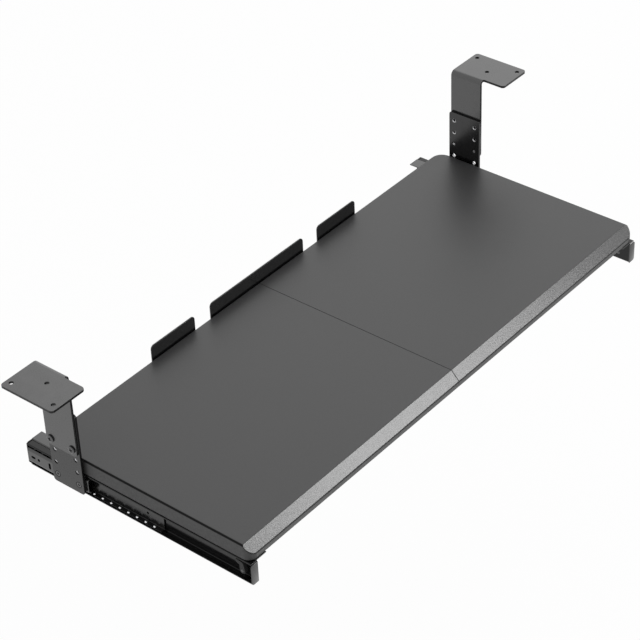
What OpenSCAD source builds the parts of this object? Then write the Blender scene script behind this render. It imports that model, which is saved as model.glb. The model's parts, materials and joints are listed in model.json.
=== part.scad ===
// Keyboard tray that hangs under a desk on two bolted brackets and slides in and out on a pair
// of ball-bearing slides. It is drawn pulled out, in millimetres.
// X runs along the tray, -Y points to the user and +Z points up.
// The origin is the middle of the screw pattern, on the plane of the desk's underside.

/* [Tray board] */
// Length of the tray along the desk
tray_length = 686; // [560:1:900]
// Depth of the tray from its back face to its front face
tray_depth = 280; // [250:1:320]
// Thickness of the tray board
board_thickness = 18; // [16:1:22]
// Radius of the two front corners, seen from above
front_corner_r = 10; // [6:1:20]
// Radius of the two rear corners, seen from above
rear_corner_r = 16; // [6:1:30]
// Chamfer along the top edge at the back and the sides
edge_chamfer = 2; // [0.5:0.5:3]
// How far the sloped front edge reaches forward
bevel_depth = 10; // [5:1:16]
// How far the sloped front edge drops
bevel_drop = 10.5; // [6:0.5:11]
// Gap between the two halves of the board
seam_gap = 0.4; // [0.2:0.1:1]
// Thickness of the band on the front face
band_thickness = 1; // [0.5:0.1:2]
// Height of the shadow groove above the band
band_groove = 1.4; // [0.5:0.1:2]

/* [Rear stops] */
// Height of the stops above the tray
stop_height = 17.5; // [8:0.5:40]
// Length of the middle stop
middle_stop_length = 161; // [120:1:200]
// Length of each side stop
side_stop_length = 70; // [40:1:90]
// Distance from the tray's middle to the middle of a side stop
side_stop_x = 141.5; // [130:0.5:160]
// Thickness of the stops' sheet steel
stop_steel = 1.5; // [1:0.1:2.5]
// Inner radius of the stops' bend, which the board's lower rear edge clears
stop_bend_inner = 1; // [0.5:0.1:2]

/* [Desk brackets] */
// Level of the drop plate at which the bracket's screws sit, 1 being the top one
height_level = 3; // [1:1:5]
// Length of a bracket's leg below the desk
leg_length = 106.7; // [100:0.1:120]
// Width of the leg, front to back
leg_width = 43; // [40:0.5:50]
// Length of the screw flange, front to back
flange_length = 72; // [68:1:90]
// How far the flange reaches outwards from the leg's inner face
flange_reach = 52.7; // [45:0.1:70]
// Thickness of the bracket's steel
bracket_steel = 3; // [2:0.1:3.5]
// Outer radius of the bend between leg and flange
bend_r = 6; // [4:0.5:8]
// Diameter of the desk screw holes
desk_hole_d = 5; // [4:0.1:6]
// Distance between the front and rear desk screw holes
desk_hole_spacing = 58; // [46:1:60]
// Distance from the flange's outer edge to the outer desk screw holes
desk_hole_inset = 9.2; // [7:0.1:14]

/* [Drop plates] */
// Thickness of the drop plates
plate_steel = 3; // [2.6:0.1:4]
// Distance between the levels of holes
level_pitch = 16.5; // [15:0.1:18]
// Distance between the front and rear columns of holes
column_spacing = 30; // [26:0.5:32]
// Plate beyond its top and bottom rows of holes
plate_end = 11; // [9:0.5:14]
// Diameter of the height screws
height_screw_d = 5; // [4:0.5:6]

/* [Slides] */
// Height of the moving rail's channel
channel_height = 27; // [25:0.5:34]
// Depth of the moving rail's channel, from its web to its lips
channel_depth = 9; // [9:0.1:12]
// Length of the moving rail
rail_length = 310; // [285:1:350]
// How far the moving rail reaches out behind the board
rail_behind = 28; // [10:0.5:40]
// Steel thickness of the moving rail
rail_steel = 1; // [0.8:0.1:1.2]
// Width of the flange that carries the board, inwards from the rail's web
board_flange_width = 15; // [12:0.5:25]
// Length of the fixed rail on the drop plate
fixed_rail_length = 88; // [82:1:110]
// Distance from the moving rail's front end to the rivet of its bumper
bumper_inset = 15.5; // [10:0.5:60]
// Diameter of the balls
ball_d = 3.5; // [3:0.1:4]
// Distance from ball to ball
ball_pitch = 12; // [8:0.5:16]
// Running gap round the balls and at the races
ball_gap = 0.3; // [0.2:0.05:0.4]

/* [Hidden] */
$fn = 48;
// Overshoot of a cutting shape past the face that it cuts
cut = 1;

// Colours
powder_black = [0.08, 0.08, 0.085];
slide_black = [0.05, 0.05, 0.055];
board_grey = [0.14, 0.14, 0.145];
band_grey = [0.3, 0.3, 0.3];
screw_black = [0.1, 0.1, 0.1];
ball_steel = [0.8, 0.8, 0.82];
rubber_grey = [0.2, 0.2, 0.2];

// Clearances between mating pieces
plate_gap = 2;
screw_gap = 0.25;
pilot_gap = 0.05;
lip_gap = 0.4;
bumper_gap = 0.5;
bend_gap = 0.2;

// The bracket and the drop plate, front to back: the leg is level with the flange at the rear
flange_rear = flange_length / 2;
leg_y = flange_rear - leg_width / 2;
leg_front = leg_y - leg_width / 2;
plate_width = leg_width + 1;
column_y = [leg_y - column_spacing / 2, leg_y + column_spacing / 2];
level_count = 6;
leg_hole_up = 8.5;
flange_corner_r = 4;
leg_corner_r = 5;
plate_corner_r = 3.5;
relief_r = 2.5;

// Heights, from the desk's underside down
leg_screw_z = leg_hole_up - leg_length;
slide_z = leg_screw_z - (level_count - height_level) * level_pitch;
top_level_z = slide_z + (level_count - 1) * level_pitch;
flange_steel = 1.2;
board_bottom = slide_z + channel_height / 2 + flange_steel;
board_top = board_bottom + board_thickness;

// Across the tray, on its right side: board, lips, fixed rail, drop plate, leg
half_length = tray_length / 2;
lip_out = 0.5;
lip_x = half_length + lip_out;
web_x = lip_x - channel_depth;
plate_x = half_length + plate_gap;
leg_x = plate_x + plate_steel;
leg_out_x = leg_x + bracket_steel;
desk_hole_x = leg_x + flange_reach - desk_hole_inset;
middle_hole_step = 20.5;
middle_hole_x = desk_hole_x - middle_hole_step;
desk_holes = [
    [desk_hole_x, desk_hole_spacing / 2], [desk_hole_x, -desk_hole_spacing / 2],
    [middle_hole_x, 0]
];
flange_x = web_x - board_flange_width + rail_steel;

// Balls and races
ball_r = ball_d / 2;
race_r = ball_r + ball_gap;
race_depth = 0.3;
race_z = channel_height / 2 - rail_steel + race_depth - race_r;
ball_x = lip_x - rail_steel - 0.45 - race_r;
member_half = race_z - race_r + race_depth;
member_steel = 1.2;
sheet_bend_r = 1.8;
member_x = ball_x - race_r - 0.05;
cage_steel = 0.6;
cage_x = member_x - 0.8 - cage_steel;
cage_lip_x = lip_x - rail_steel - ball_gap;
lip_drop = 1.2;

// Bumper: its foot, shoulder and arm
bumper_reach = 5.5;
bumper_r = 3.6;
bumper_shoulder_r = 2.8;
bumper_arm_r = 2.2;
bumper_arm_reach = 9;
bumper_z = -4.5;
rivet_r = 1.2;

// Along the slides, drawn pulled out
fixed_front_end = 11;
rail_end_gap = 2;
cage_end_gap = 4.5;
fixed_front = column_y[0] - fixed_front_end;
fixed_rear = fixed_front + fixed_rail_length;
rail_rear = fixed_rear + rail_end_gap;
rail_front = rail_rear - rail_length;
bumper_y = rail_front + bumper_inset;
bumper_rear = bumper_y + bumper_arm_reach;
// Distance that the tray slides in, until the bumpers meet the fixed rails
slide_travel = fixed_front - bumper_gap - bumper_rear;
cage_front = fixed_front - slide_travel / 2;
cage_rear = rail_rear - cage_end_gap;
ball_front_end = 11;
ball_rear_end = 4;
ball_count = floor((cage_rear - cage_front - ball_front_end - ball_rear_end) / ball_pitch) + 1;
cage_hole_inset = 22;
slot_inset = 8;
hole_inset = 16;
upright_slot_inset = 32;

// Tray, front to back
rear_y = rail_rear - rail_behind;
front_y = rear_y - tray_depth;
nose_lip = 0.8;
nose_drop = bevel_drop + nose_lip;

// Fasteners
plate_screw_r = 2;
countersunk_r = 4;
countersunk_h = 2.2;
wood_screw_r = 1.75;
wood_screw_length = 13;
wood_head_r = 3.6;
wood_head_h = 1.8;
rail_screw_x = (flange_x + web_x) / 2;
rail_screw_inset = 32;
rail_screw_front = max(front_y, rail_front) + rail_screw_inset;
rail_screw_rear = rear_y - rail_screw_inset;
rail_screw_y = [rail_screw_front, (rail_screw_front + rail_screw_rear) / 2, rail_screw_rear];
joining_plate_size = [84, 40, 2];
joining_plate_inset = [62, 76];
joining_plate_y = [front_y + joining_plate_inset[0], rear_y - joining_plate_inset[1]];
joining_screw_x = 30;
joining_screw_dy = 11;
stop_flange = 16;
stop_corner_r = 5;
stop_screw_inset = 9;
stop_screw_y = rear_y - stop_screw_inset;
side_stop_screw_end = 14;
side_stop_screw_x = side_stop_length / 2 - side_stop_screw_end;
middle_stop_screw_x = [20, middle_stop_length / 2 - side_stop_screw_end];

// Draws for the right side as given, and mirrors for the left side
module on_side(side) {
    if (side < 0)
        mirror([1, 0, 0]) children();
    else
        children();
}

// Runs an outline drawn as (y, z) along X
module along_x(x0, x1) {
    translate([x0, 0, 0])
        rotate([90, 0, 90])
            linear_extrude(x1 - x0)
                children();
}

// Runs an outline drawn as (x, z) along Y
module along_y(y0, y1) {
    translate([0, y1, 0])
        rotate([90, 0, 0])
            linear_extrude(y1 - y0)
                children();
}

// What a square corner loses when it is rounded, with the arc's centre at the origin
module corner_loss(r) {
    difference() {
        square(r + cut);
        circle(r);
    }
}

// A sheet bent to a right angle: a leg down from the outer corner, a flange out along X
module angle_profile(leg, out, steel, r) {
    translate([0, -leg])
        square([steel, leg - r]);
    translate([r, -steel])
        square([out - r, steel]);
    translate([r, -r])
        intersection() {
            difference() {
                circle(r);
                circle(r - steel);
            }
            translate([-r, 0])
                square(r);
        }
}

// A channel bent from sheet, open to the right, with its web on the y axis
module channel_profile(depth, half, steel, r) {
    for (s = [0, 1])
        mirror([0, s])
            translate([0, half])
                angle_profile(half, depth, steel, r);
}

// Sheet outline with four round corners, centred on the origin
module sheet_outline(width, height, r) {
    difference() {
        square([width, height], center = true);
        for (sx = [-1, 1], sy = [-1, 1])
            translate([sx * (width / 2 - r), sy * (height / 2 - r)])
                rotate(sx > 0 ? (sy > 0 ? 0 : -90) : (sy > 0 ? 90 : 180))
                    corner_loss(r);
    }
}

// Places a piece that lies along +X at each hole of one level of the drop plate
module at_level(z) {
    for (y = column_y)
        translate([0, y, z])
            rotate([0, 90, 0])
                children();
}

// The bracket that screws to the desk: flange above, leg below, one bend between them
module hanger(side) {
    color(powder_black)
    on_side(side)
    difference() {
        union() {
            along_y(leg_front, flange_rear)
                translate([leg_x, 0])
                    angle_profile(leg_length, flange_reach, bracket_steel, bend_r);
            translate([leg_x, -flange_rear, -bracket_steel])
                cube([flange_reach, leg_front + flange_rear, bracket_steel]);
        }
        // round corners of the flange
        for (sy = [-1, 1])
            translate([
                leg_x + flange_reach - flange_corner_r,
                sy * (flange_rear - flange_corner_r), -bracket_steel - cut
            ])
                rotate(sy > 0 ? 0 : -90)
                    linear_extrude(bracket_steel + 2 * cut)
                        corner_loss(flange_corner_r);
        translate([leg_x + flange_corner_r, flange_corner_r - flange_rear, -bracket_steel - cut])
            rotate(180)
                linear_extrude(bracket_steel + 2 * cut)
                    corner_loss(flange_corner_r);
        // round corners of the leg
        for (sy = [-1, 1])
            translate([leg_x - cut, leg_y + sy * (leg_width / 2 - leg_corner_r), leg_corner_r - leg_length])
                rotate([90, 0, 90])
                    linear_extrude(bracket_steel + 2 * cut)
                        rotate(sy > 0 ? -90 : 180)
                            corner_loss(leg_corner_r);
        // bend relief where the leg ends and the flange goes on
        translate([leg_x, leg_front - relief_r, -bracket_steel - cut])
            cylinder(h = bracket_steel + 2 * cut, r = relief_r);
        // desk screw holes: two near the outer edge, one further in
        for (p = desk_holes)
            translate([p[0], p[1], -bracket_steel - cut])
                cylinder(h = bracket_steel + 2 * cut, d = desk_hole_d);
        // holes for the height screws
        translate([leg_x - cut, 0, 0])
            at_level(leg_screw_z)
                cylinder(h = bracket_steel + 2 * cut, d = height_screw_d + 2 * screw_gap);
    }
}

// The plate with the levels of holes, which hangs from the leg and carries the fixed rail
module drop_plate(side) {
    plate_height = (level_count - 1) * level_pitch + 2 * plate_end;
    color(powder_black)
    on_side(side)
    difference() {
        translate([plate_x, leg_y, (top_level_z + slide_z) / 2])
            rotate([90, 0, 90])
                linear_extrude(plate_steel)
                    sheet_outline(plate_width, plate_height, plate_corner_r);
        for (level = [0 : level_count - 2])
            translate([plate_x - cut, 0, 0])
                at_level(top_level_z - level * level_pitch)
                    cylinder(h = plate_steel + 2 * cut, d = height_screw_d + 2 * pilot_gap);
        translate([plate_x - cut, 0, 0])
            at_level(slide_z)
                cylinder(h = plate_steel + 2 * cut, r = plate_screw_r + pilot_gap);
        translate([plate_x + plate_steel - countersunk_h, 0, 0])
            at_level(slide_z)
                countersink(pilot_gap);
    }
}

// Cone of a countersunk head, its wide end at the far face
module countersink(gap) {
    rotate_extrude()
        polygon([
            [0, 0], [plate_screw_r + gap, 0], [countersunk_r + gap, countersunk_h],
            [0, countersunk_h]
        ]);
}

// Two pan-head screws that hold the leg to the drop plate
module height_screws(side) {
    head_r = 0.9 * height_screw_d;
    head_h = 3;
    shank = bracket_steel + plate_steel;
    color(screw_black)
    on_side(side)
    translate([plate_x, 0, 0])
        at_level(leg_screw_z)
            rotate_extrude()
                difference() {
                    union() {
                        square([height_screw_d / 2, shank + cut]);
                        translate([0, shank])
                            square([head_r, head_h]);
                    }
                    // crowned edge of the head
                    translate([head_r - head_h / 2, shank + head_h / 2])
                        corner_loss(head_h / 2);
                }
}

// Two countersunk screws that hold the fixed rail to the drop plate
module plate_screws(side) {
    shank = plate_steel + member_steel;
    color(screw_black)
    on_side(side)
    translate([plate_x - member_steel, 0, 0])
        at_level(slide_z)
            union() {
                cylinder(h = shank, r = plate_screw_r);
                translate([0, 0, shank - countersunk_h])
                    countersink(0);
            }
}

// Section of the fixed rail: a web against the drop plate and two legs with a ball race each
module fixed_section() {
    difference() {
        translate([plate_x, 0])
            mirror([1, 0])
                channel_profile(plate_x - member_x, member_half, member_steel, sheet_bend_r);
        for (s = [-1, 1])
            translate([ball_x, s * race_z])
                circle(race_r);
    }
}

// The short inner rail of a slide, with the holes and slots that show at its rear
module fixed_rail(side) {
    color(slide_black)
    on_side(side)
    translate([0, 0, slide_z])
    difference() {
        along_y(fixed_front, fixed_rear)
            fixed_section();
        // screw holes
        translate([plate_x - member_steel - cut, 0, 0])
            at_level(0)
                cylinder(h = member_steel + 2 * cut, r = plate_screw_r + pilot_gap);
        // lengthwise slot, round hole and upright slot
        along_web()
            slot_outline(fixed_rear - slot_inset, 3, 0);
        along_web()
            translate([fixed_rear - hole_inset, 0])
                circle(d = 3.5);
        along_web()
            slot_outline(fixed_rear - upright_slot_inset, 0, 5);
    }
}

// Runs an outline drawn as (y, z) through the fixed rail's web
module along_web() {
    along_x(plate_x - member_steel - cut, plate_x + cut)
        children();
}

// A slot 3 mm wide whose end centres lie run or rise apart
module slot_outline(y, run, rise) {
    width = 3;
    for (s = [-1, 1])
        translate([y + s * run / 2, s * rise / 2])
            circle(d = width);
    translate([y, 0])
        square([max(run, width), max(rise, width)], center = true);
}

// Where the balls sit along the cage
function ball_y(i) = cage_front + ball_front_end + i * ball_pitch;

// The strip that keeps the balls apart: a web and two lips, with a hole round each ball
module ball_cage(side) {
    lip_half = race_z + cage_steel / 2;
    color(slide_black)
    on_side(side)
    translate([0, 0, slide_z])
    difference() {
        along_y(cage_front, cage_rear)
            translate([cage_x, 0])
                channel_profile(cage_lip_x - cage_x, lip_half, cage_steel, 2 * cage_steel);
        for (i = [0 : ball_count - 1])
            translate([ball_x, ball_y(i), -lip_half - cut])
                cylinder(h = 2 * (lip_half + cut), r = ball_r + 0.12, $fn = 24);
        // hole near the front end
        translate([cage_x - cut, cage_front + cage_hole_inset, 0])
            rotate([0, 90, 0])
                cylinder(h = cage_steel + 2 * cut, d = 3);
    }
}

// Two rows of steel balls
module balls(side) {
    color(ball_steel)
    on_side(side)
    for (i = [0 : ball_count - 1], s = [-1, 1])
        translate([ball_x, ball_y(i), slide_z + s * race_z])
            sphere(ball_r, $fn = 24);
}

// Section of the moving rail: a channel that opens outwards, with a ball race in its top and
// bottom walls, and a flange at its top that carries the board
module rail_section() {
    half = channel_height / 2;
    inner = half - rail_steel;
    difference() {
        union() {
            translate([web_x, 0])
                channel_profile(channel_depth, half, rail_steel, sheet_bend_r);
            for (s = [-1, 1])
                translate([lip_x - rail_steel, s > 0 ? inner - lip_drop : -half])
                    square([rail_steel, lip_drop + rail_steel]);
            translate([web_x, 0])
                square([rail_steel, half + flange_steel]);
            translate([flange_x, half])
                square([web_x + rail_steel - flange_x, flange_steel]);
        }
        for (s = [-1, 1])
            translate([ball_x, s * race_z])
                circle(race_r);
        // folded edges of the lips and of the board's flange
        for (s = [-1, 1])
            translate([lip_x - rail_steel, s * (half - rail_steel)])
                rotate(s > 0 ? 0 : -90)
                    corner_loss(rail_steel);
        translate([web_x + rail_steel - flange_steel, half])
            corner_loss(flange_steel);
    }
}

// The long outer rail of a slide, which moves with the tray
module moving_rail(side) {
    half = channel_height / 2;
    end_reach = channel_depth + 1;
    end_height = channel_height - 2;
    end_corner = 3;
    color(slide_black)
    on_side(side)
    translate([0, 0, slide_z])
    difference() {
        union() {
            along_y(rail_front, rail_rear)
                rail_section();
            // end flange, bent outwards at the front
            along_y(rail_front, rail_front + rail_steel)
                translate([web_x, -half])
                    difference() {
                        square([end_reach, end_height]);
                        translate([end_reach - end_corner, end_height - end_corner])
                            corner_loss(end_corner);
                        translate([end_reach, 0])
                            polygon([[-end_corner, 0], [0, -cut], [cut, 0], [0, end_corner]]);
                    }
            // tab at the rear that stops the cage
            translate([web_x, rail_rear - rail_steel, -4])
                cube([cage_x + cage_steel - web_x + 1, rail_steel, 8]);
        }
        // slanted rear end of the lower lip
        along_x(lip_x - rail_steel - 0.5, lip_x + cut)
            polygon([
                [rail_rear - 6, -half - cut], [rail_rear + cut, -half - cut],
                [rail_rear + cut, 4 - half], [rail_rear, 3 - half], [rail_rear - 6, -half]
            ]);
        // screw holes in the board's flange
        for (y = rail_screw_y)
            translate([rail_screw_x, y, half - cut])
                cylinder(h = flange_steel + 2 * cut, r = wood_screw_r + screw_gap);
        // rivet hole for the bumper
        translate([web_x - cut, bumper_y, bumper_z])
            rotate([0, 90, 0])
                cylinder(h = rail_steel + 2 * cut, r = rivet_r + pilot_gap);
    }
}

// Outline of the bumper: a round foot on the rivet, a shoulder above it and an arm to the rear
module bumper_outline() {
    hull() {
        translate([bumper_y, bumper_z])
            circle(bumper_r, $fn = 32);
        translate([bumper_y + 1.2, bumper_z + 8.4])
            circle(bumper_shoulder_r, $fn = 32);
    }
    hull() {
        translate([bumper_y + 1.2, bumper_z + 8.4])
            circle(bumper_shoulder_r, $fn = 32);
        translate([bumper_rear - bumper_arm_r, bumper_z + 10])
            circle(bumper_arm_r, $fn = 32);
    }
}

// Rubber bumper inside the front of the channel, which meets the fixed rail when the tray is in
module bumper(side) {
    color(rubber_grey)
    on_side(side)
    translate([0, 0, slide_z])
    difference() {
        along_x(web_x + rail_steel, web_x + rail_steel + bumper_reach)
            bumper_outline();
        translate([web_x, bumper_y, bumper_z])
            rotate([0, 90, 0])
                cylinder(h = channel_depth + cut, r = rivet_r + pilot_gap);
    }
}

// Rivet that holds the bumper to the web, with a head at each end
module bumper_rivet(side) {
    length = rail_steel + bumper_reach;
    head_h = 0.8;
    color(screw_black)
    on_side(side)
    translate([web_x, bumper_y, slide_z + bumper_z])
        rotate([0, 90, 0])
            union() {
                translate([0, 0, -head_h])
                    cylinder(h = length + 2 * head_h, r = rivet_r);
                translate([0, 0, -head_h])
                    cylinder(h = head_h, r = 2.1);
                translate([0, 0, length])
                    cylinder(h = head_h, r = 1.9);
            }
}

// A pan-head wood screw that goes up, with the underside of its head at the origin
module wood_screw() {
    union() {
        translate([0, 0, -wood_head_h])
            rotate_extrude()
                difference() {
                    square([wood_head_r, wood_head_h]);
                    translate([wood_head_r - 1, 1])
                        rotate(-90)
                            corner_loss(1);
                }
        cylinder(h = wood_screw_length, r = wood_screw_r);
    }
}

// Blind hole for a wood screw, drilled up from the board's underside
module pilot(x, y) {
    translate([x, y, board_bottom - cut])
        cylinder(h = wood_screw_length + cut, r = wood_screw_r + pilot_gap);
}

// Screws that hold a moving rail to the board
module rail_screws(side) {
    color(screw_black)
    on_side(side)
    for (y = rail_screw_y)
        translate([rail_screw_x, y, slide_z + channel_height / 2])
            wood_screw();
}

// Half of the tray board, seen from above
module board_outline() {
    rear_r = rear_corner_r;
    front_r = front_corner_r;
    difference() {
        translate([seam_gap / 2, front_y])
            square([half_length - seam_gap / 2, tray_depth]);
        translate([half_length - rear_r, rear_y - rear_r])
            corner_loss(rear_r);
        translate([half_length - front_r, front_y + front_r])
            rotate(-90)
                corner_loss(front_r);
    }
}

// Cut that takes an upper edge off at 45 degrees, drawn as (outwards, up) from that edge
module edge_cut(size) {
    polygon([[-size - cut, cut], [cut, cut], [cut, -size - cut]]);
}

// The same cut carried round a corner of radius r
module corner_chamfer(r) {
    rotate_extrude(angle = 90)
        translate([r, 0])
            edge_cut(edge_chamfer);
}

// Half of the tray: a board with round corners, a chamfered top edge and a sloped front
module board(side) {
    k = 0.2;
    color(board_grey)
    on_side(side)
    difference() {
        translate([0, 0, board_bottom])
            linear_extrude(board_thickness)
                board_outline();
        translate([0, rear_y, board_top])
            along_x(-cut, half_length - rear_corner_r)
                edge_cut(edge_chamfer);
        translate([half_length, 0, board_top])
            along_y(front_y + front_corner_r, rear_y - rear_corner_r)
                edge_cut(edge_chamfer);
        translate([half_length - rear_corner_r, rear_y - rear_corner_r, board_top])
            corner_chamfer(rear_corner_r);
        translate([half_length - front_corner_r, front_y + front_corner_r, board_top])
            rotate(-90)
                corner_chamfer(front_corner_r);
        // lower rear edge, clear of the stops' bend
        translate([0, rear_y, board_bottom])
            along_x(-cut, half_length - rear_corner_r)
                mirror([0, 1])
                    edge_cut(stop_bend_inner + bend_gap);
        // slope along the front
        translate([0, front_y, board_top])
            along_x(-cut, half_length + cut)
                polygon([
                    [(1 + k) * bevel_depth, k * bevel_drop], [-k * bevel_depth, k * bevel_drop],
                    [-k * bevel_depth, -(1 + k) * bevel_drop]
                ]);
        // rebate for the front band, with its shadow groove
        translate([-cut, front_y - cut, board_bottom - cut])
            cube([
                half_length - front_corner_r + cut, band_thickness + cut,
                board_thickness - nose_drop + cut
            ]);
        for (y = rail_screw_y)
            pilot(rail_screw_x, y);
        for (y = joining_plate_y, s = [-1, 1])
            pilot(joining_screw_x, y + s * joining_screw_dy);
        for (s = [-1, 1])
            pilot(side_stop_x + s * side_stop_screw_x, stop_screw_y);
        for (x = middle_stop_screw_x)
            pilot(x, stop_screw_y);
    }
}

// Ribbed band on the board's front face
module front_band(side) {
    color(band_grey)
    on_side(side)
    translate([seam_gap / 2, front_y, board_bottom])
        cube([
            half_length - front_corner_r - seam_gap / 2, band_thickness,
            board_thickness - nose_drop - band_groove
        ]);
}

// Flat plate under the seam that ties the two halves of the board
module joining_plate(y) {
    color(powder_black)
    translate([0, y, board_bottom - joining_plate_size[2]])
        difference() {
            linear_extrude(joining_plate_size[2])
                sheet_outline(joining_plate_size[0], joining_plate_size[1], 4);
            for (sx = [-1, 1], sy = [-1, 1])
                translate([sx * joining_screw_x, sy * joining_screw_dy, -cut])
                    cylinder(h = joining_plate_size[2] + 2 * cut, r = wood_screw_r + screw_gap);
        }
}

// Screws of both joining plates
module joining_screws() {
    color(screw_black)
    for (y = joining_plate_y, sx = [-1, 1], sy = [-1, 1])
        translate([sx * joining_screw_x, y + sy * joining_screw_dy, board_bottom - joining_plate_size[2]])
            wood_screw();
}

// Stop at the back of the tray: a bent sheet with its foot under the board
module rear_stop(x, length, screw_x) {
    plate_height = stop_height + board_thickness + stop_steel;
    color(powder_black)
    difference() {
        translate([0, rear_y + stop_steel, board_bottom - stop_steel])
            along_x(x - length / 2, x + length / 2)
                mirror([1, 0])
                    mirror([0, 1])
                        angle_profile(
                            plate_height, stop_flange + stop_steel, stop_steel,
                            stop_steel + stop_bend_inner
                        );
        for (s = [-1, 1])
            translate([
                x + s * (length / 2 - stop_corner_r), rear_y + stop_steel + cut,
                board_top + stop_height - stop_corner_r
            ])
                rotate([90, 0, 0])
                    linear_extrude(stop_steel + 2 * cut)
                        rotate(s > 0 ? 0 : 90)
                            corner_loss(stop_corner_r);
        for (sx = screw_x)
            translate([x + sx, stop_screw_y, board_bottom - stop_steel - cut])
                cylinder(h = stop_steel + 2 * cut, r = wood_screw_r + screw_gap);
    }
}

// Screws of the three stops
module stop_screws() {
    side_x = [-side_stop_screw_x, side_stop_screw_x];
    color(screw_black)
    for (x = concat(
        [for (s = [-1, 1], d = side_x) s * side_stop_x + d],
        [for (s = [-1, 1], m = middle_stop_screw_x) s * m]
    ))
        translate([x, stop_screw_y, board_bottom - stop_steel])
            wood_screw();
}

side_screws = [-side_stop_screw_x, side_stop_screw_x];
middle_screws = [for (s = [-1, 1], m = middle_stop_screw_x) s * m];

hanger(-1);  // left_hanger
hanger(1);  // right_hanger
drop_plate(-1);  // left_drop_plate
drop_plate(1);  // right_drop_plate
height_screws(-1);  // left_height_screws
height_screws(1);  // right_height_screws
fixed_rail(-1);  // left_fixed_rail
fixed_rail(1);  // right_fixed_rail
plate_screws(-1);  // left_plate_screws
plate_screws(1);  // right_plate_screws
ball_cage(-1);  // left_ball_cage
ball_cage(1);  // right_ball_cage
balls(-1);  // left_balls
balls(1);  // right_balls
moving_rail(-1);  // left_moving_rail
moving_rail(1);  // right_moving_rail
rail_screws(-1);  // left_rail_screws
rail_screws(1);  // right_rail_screws
bumper(-1);  // left_bumper
bumper(1);  // right_bumper
bumper_rivet(-1);  // left_bumper_rivet
bumper_rivet(1);  // right_bumper_rivet
board(-1);  // left_board
board(1);  // right_board
front_band(-1);  // left_front_band
front_band(1);  // right_front_band
joining_plate(joining_plate_y[1]);  // rear_joining_plate
joining_plate(joining_plate_y[0]);  // front_joining_plate
joining_screws();
rear_stop(-side_stop_x, side_stop_length, side_screws);  // left_rear_stop
rear_stop(0, middle_stop_length, middle_screws);  // middle_rear_stop
rear_stop(side_stop_x, side_stop_length, side_screws);  // right_rear_stop
stop_screws();
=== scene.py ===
"""Looks of a keyboard tray that slides on ball-bearing slides under a desk.

The packed model is the frame. Each sheet, board and moulded piece is a copy of its solid with
merged corners, joined flat faces and rounded edges. Screws, balls, rivets and the ribbed bands
are surfaces worked out here on grids of two parameters. Lengths are in metres.
"""

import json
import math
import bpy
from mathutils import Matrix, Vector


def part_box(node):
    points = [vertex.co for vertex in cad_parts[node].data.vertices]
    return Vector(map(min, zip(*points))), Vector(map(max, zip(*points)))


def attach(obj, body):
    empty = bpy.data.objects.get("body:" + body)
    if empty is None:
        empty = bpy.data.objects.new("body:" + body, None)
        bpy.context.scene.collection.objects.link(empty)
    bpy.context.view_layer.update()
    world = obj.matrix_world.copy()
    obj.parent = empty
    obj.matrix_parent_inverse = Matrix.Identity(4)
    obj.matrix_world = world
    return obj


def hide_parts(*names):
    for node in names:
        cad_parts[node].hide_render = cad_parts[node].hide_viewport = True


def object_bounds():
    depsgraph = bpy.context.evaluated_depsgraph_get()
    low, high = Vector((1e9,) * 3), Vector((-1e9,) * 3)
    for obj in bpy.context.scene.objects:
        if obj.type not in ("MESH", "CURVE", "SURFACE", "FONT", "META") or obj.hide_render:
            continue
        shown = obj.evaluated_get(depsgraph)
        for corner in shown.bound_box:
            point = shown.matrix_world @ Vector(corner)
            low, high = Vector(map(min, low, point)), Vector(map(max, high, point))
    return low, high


bl_info = {
    "name": "Keyboard Tray Under Desk",
    "version": (1, 0, 0),
    "blender": (4, 5, 0),
    "location": "View3D > Sidebar > Keyboard Tray",
    "description": "Makes the pieces, finishes and stage of a sliding keyboard tray",
    "category": "Object",
}

import bmesh
import bpy
import numpy as np
from bpy.props import FloatProperty, FloatVectorProperty, IntProperty, PointerProperty
from mathutils import Matrix, Vector
from mathutils.bvhtree import BVHTree
from mathutils.geometry import intersect_point_line

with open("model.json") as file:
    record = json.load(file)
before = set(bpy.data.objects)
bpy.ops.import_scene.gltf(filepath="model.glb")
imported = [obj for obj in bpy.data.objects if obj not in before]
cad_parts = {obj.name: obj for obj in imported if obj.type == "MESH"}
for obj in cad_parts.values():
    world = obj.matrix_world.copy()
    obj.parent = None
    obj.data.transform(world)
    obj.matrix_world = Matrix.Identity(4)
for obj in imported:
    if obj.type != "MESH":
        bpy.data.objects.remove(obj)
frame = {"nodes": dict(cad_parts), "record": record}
CAD_BOX = [list(corner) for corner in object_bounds()]
BODY_OF = {n: body for body, names in frame["record"]["behaviour"]["bodies"].items() for n in names}
SIDES = {"left": -1, "right": 1}

# Made points and CAD corners nearer than these are one. Faces that meet below the first angle are
# joined, and edges above the second are rounded
SAME_POINT = 2e-7
SAME_CORNER = 2e-6
FLAT = math.radians(0.4)
SHARP = math.radians(25)

# The photograph's camera: its place, then the directions of the picture's right, up and back, and
# its lens in millimetres
CAMERA_PLACE = (-1.4771485, -1.3013834, 1.3128236)
CAMERA_RIGHT = (0.6289248, -0.7766428, -0.0357716)
CAMERA_UP = (0.4812754, 0.3527764, 0.8024480)
CAMERA_BACK = (-0.6105961, -0.5218954, 0.5956489)
CAMERA_LENS = 122.462

# Soft square lamps: name, side, direction from the tray's middle and distance
LAMPS = (
    ("key_lamp", 0.8, (0.546, -0.719, 0.429), 2.42),
    ("rear_lamp", 1.9, (0.68, 0.48, 0.55), 2.4),
)


def setting(kind, **fixed):
    """A kind of property, which is then given its name, default and description."""
    return lambda name, default, description: kind(
        name=name, default=default, description=description, **fixed
    )


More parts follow.
